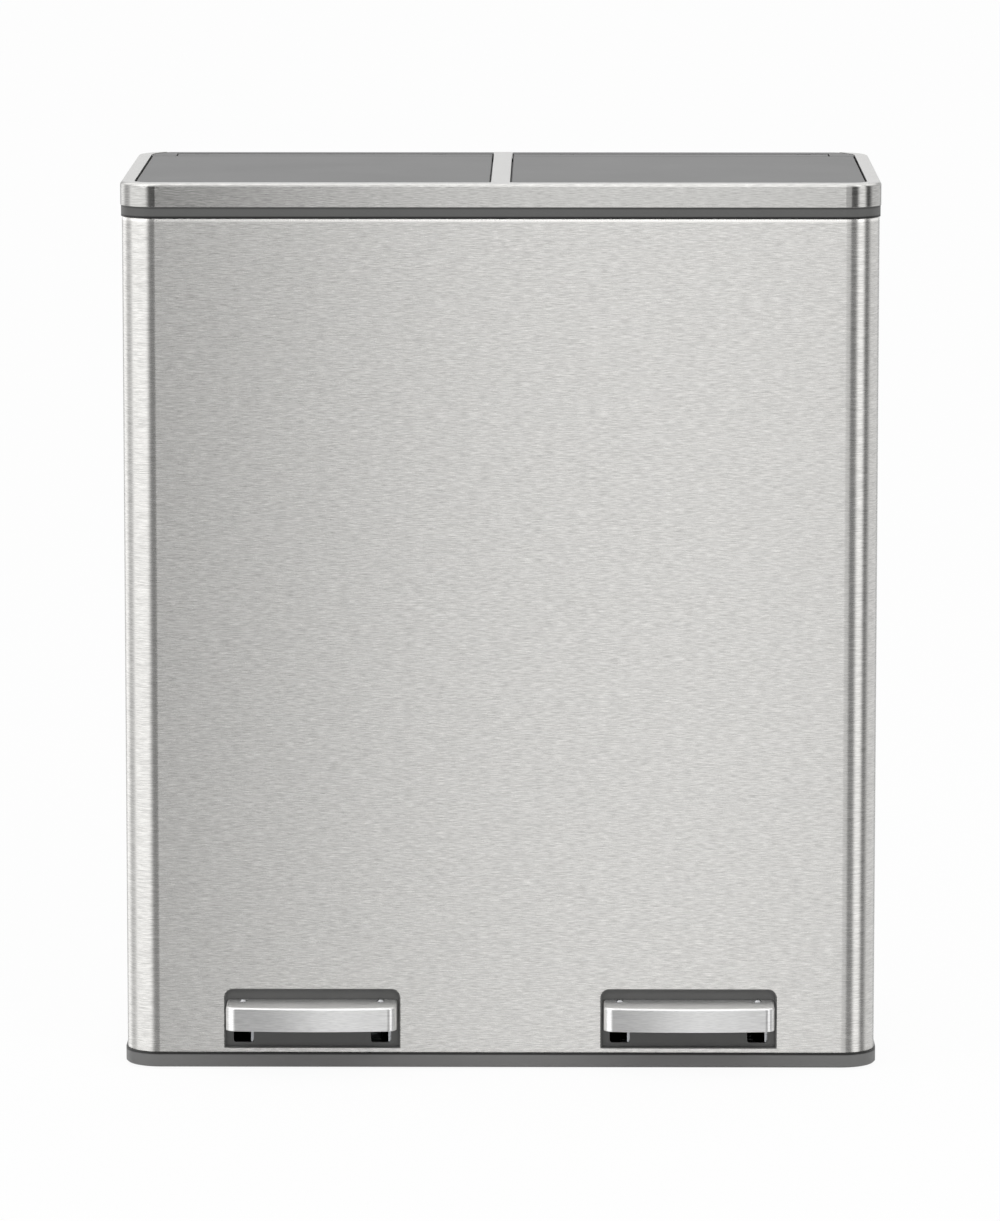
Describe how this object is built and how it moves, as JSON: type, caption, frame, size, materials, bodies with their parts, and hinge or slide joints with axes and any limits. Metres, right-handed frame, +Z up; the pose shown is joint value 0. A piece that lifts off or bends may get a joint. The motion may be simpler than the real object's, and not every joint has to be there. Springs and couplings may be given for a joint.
{
  "type": "double recycling bin",
  "caption": "Floor-standing pedal bin with two compartments: brushed steel body, flush lids each opened by its own pedal through a pushrod, lift-out buckets.",
  "frame": {"origin": "on the floor under the middle of the body, at the centre foot's underside", "axes": "+X to the right as seen from the front, +Y to the back (the pedals are on the -Y side), +Z up"},
  "size_m": [0.585, 0.334, 0.69],
  "materials": {
    "steel": "brushed along X, satin",
    "dark_plastic": "fine moulded texture",
    "lid_plastic": "fine moulded texture",
    "liner_plastic": "smooth moulded",
    "inner_plastic": "moulded",
    "bucket_plastic": "moulded, slightly glossy inside",
    "zinc_steel": "zinc plated",
    "acetal": "natural acetal",
    "rubber": "soft"
  },
  "bodies": {
    "bin": {"outer_shell": "steel", "base_tray": "dark_plastic", "bucket_deck": "inner_plastic", "collar_ring": "dark_plastic", "lid_bezel": "steel", "rear_handle": "dark_plastic", "rubber_feet": "rubber", "lid_bumpers": "rubber", "deck_screws": "zinc_steel", "bracket_screws": "zinc_steel", "channel_screws": "zinc_steel", "axle_clips": "zinc_steel", "hinge_pins": "zinc_steel", "pedal_surround_left": "dark_plastic", "pedal_surround_right": "dark_plastic", "arm_guides_left": "zinc_steel", "arm_guides_right": "zinc_steel", "lever_brackets_left": "zinc_steel", "lever_brackets_right": "zinc_steel", "lever_axle_left": "zinc_steel", "lever_axle_right": "zinc_steel", "rod_channel_left": "inner_plastic", "rod_channel_right": "inner_plastic", "rod_guides_left": "inner_plastic", "rod_guides_right": "inner_plastic", "damper_barrel_left": "inner_plastic", "damper_barrel_right": "inner_plastic", "damper_caps_left": "acetal", "damper_caps_right": "acetal", "hinge_lugs_left": "zinc_steel", "hinge_lugs_right": "zinc_steel", "hinge_cover_left": "lid_plastic", "hinge_cover_right": "lid_plastic"},
    "pedal_left": {"pedal_lever_left": "zinc_steel", "pedal_pad_left": "steel", "pedal_rivets_left": "zinc_steel", "lever_bushes_left": "acetal"},
    "pushrod_left": {"pushrod_left": "zinc_steel", "rod_foot_left": "zinc_steel", "rod_tip_left": "acetal", "damper_piston_left": "acetal"},
    "lid_left": {"lid_panel_left": "lid_plastic", "lid_liner_left": "liner_plastic", "heel_cam_left": "liner_plastic", "heel_screws_left": "zinc_steel"},
    "bucket_left": {"bucket_left": "bucket_plastic"},
    "pedal_right": {"pedal_lever_right": "zinc_steel", "pedal_pad_right": "steel", "pedal_rivets_right": "zinc_steel", "lever_bushes_right": "acetal"},
    "pushrod_right": {"pushrod_right": "zinc_steel", "rod_foot_right": "zinc_steel", "rod_tip_right": "acetal", "damper_piston_right": "acetal"},
    "lid_right": {"lid_panel_right": "lid_plastic", "lid_liner_right": "liner_plastic", "heel_cam_right": "liner_plastic", "heel_screws_right": "zinc_steel"},
    "bucket_right": {"bucket_right": "bucket_plastic"}
  },
  "joints": [
    {"name": "pedal_press_left", "type": "hinge", "parent": "bin", "child": "pedal_left", "pos_m": [-0.14625, -0.04953, 0.03], "axis": [1, 0, 0], "range_deg": [0, 10.5]},
    {"name": "pushrod_lift_left", "type": "slide", "parent": "bin", "child": "pushrod_left", "axis": [0, 0, 1], "range_m": [0, 0.02935]},
    {"name": "lid_open_left", "type": "hinge", "parent": "bin", "child": "lid_left", "pos_m": [-0.14625, 0.131, 0.6851], "axis": [-1, 0, 0], "range_deg": [0, 80.05]},
    {"name": "bucket_lift_left", "type": "slide", "parent": "bin", "child": "bucket_left", "axis": [0, 0, 1], "range_m": [0, 0.02]},
    {"name": "pedal_press_right", "type": "hinge", "parent": "bin", "child": "pedal_right", "pos_m": [0.14625, -0.04953, 0.03], "axis": [1, 0, 0], "range_deg": [0, 10.5]},
    {"name": "pushrod_lift_right", "type": "slide", "parent": "bin", "child": "pushrod_right", "axis": [0, 0, 1], "range_m": [0, 0.02935]},
    {"name": "lid_open_right", "type": "hinge", "parent": "bin", "child": "lid_right", "pos_m": [0.14625, 0.131, 0.6851], "axis": [-1, 0, 0], "range_deg": [0, 80.05]},
    {"name": "bucket_lift_right", "type": "slide", "parent": "bin", "child": "bucket_right", "axis": [0, 0, 1], "range_m": [0, 0.02]}
  ],
  "couplings": [
    {"joint": "pushrod_lift_left", "follows": "pedal_press_left", "m_per_rad": 0.16},
    {"joint": "lid_open_left", "follows": "pedal_press_left", "ratio": 7.619},
    {"joint": "pushrod_lift_right", "follows": "pedal_press_right", "m_per_rad": 0.16},
    {"joint": "lid_open_right", "follows": "pedal_press_right", "ratio": 7.619}
  ]
}
